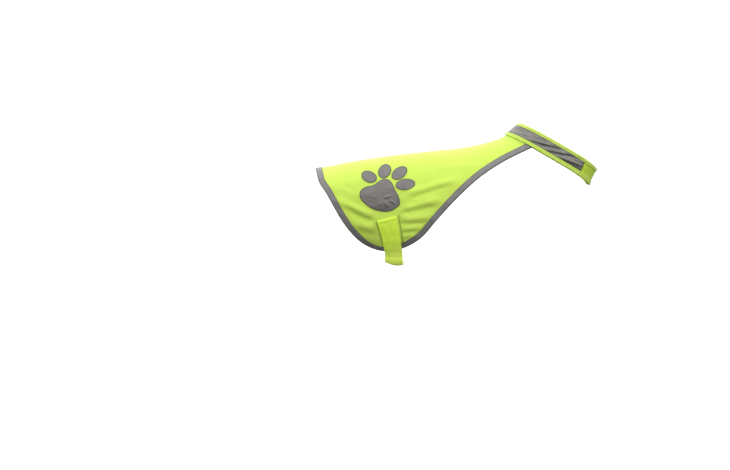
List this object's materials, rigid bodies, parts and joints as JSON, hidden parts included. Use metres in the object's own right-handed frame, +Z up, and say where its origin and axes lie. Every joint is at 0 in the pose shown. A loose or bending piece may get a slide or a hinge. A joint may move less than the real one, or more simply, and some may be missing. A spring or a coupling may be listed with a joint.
{
  "type": "dog safety vest",
  "caption": "Worn-form safety vest for a dog: a saddle-shaped back panel with a bound edge, a neck band closed at the throat and a belly strap closed below, with paw motifs.",
  "frame": {"origin": "on the panel's inner face on the spine, where the wearer's back holds the vest up", "axes": "+X towards the neck, +Y to the wearer's left, +Z up"},
  "size_m": [0.6075, 0.1993, 0.3071],
  "materials": {
    "fluo_knit": "matt fluorescent yellow-green polyester knit",
    "fluo_band": "matt fluorescent yellow-green woven band",
    "reflective": "grey reflective tape, satin",
    "hook_loop": "hook and loop fastener, fuzzy"
  },
  "bodies": {
    "root": {"back_panel": "fluo_knit", "hem_binding": "reflective", "collar_band": "fluo_band", "collar_binding_lower": "fluo_band", "collar_binding_upper": "fluo_band", "collar_tape": "reflective", "collar_hook": "hook_loop", "collar_loop": "hook_loop", "strap_right": "fluo_band", "strap_left": "fluo_band", "strap_hook": "hook_loop", "strap_loop": "hook_loop", "paw_right_palm": "reflective", "paw_right_toe_rear": "reflective", "paw_right_toe_upper": "reflective", "paw_right_toe_front": "reflective", "paw_right_toe_low": "reflective", "paw_left_palm": "reflective", "paw_left_toe_rear": "reflective", "paw_left_toe_upper": "reflective", "paw_left_toe_front": "reflective", "paw_left_toe_low": "reflective"}
  },
  "joints": []
}
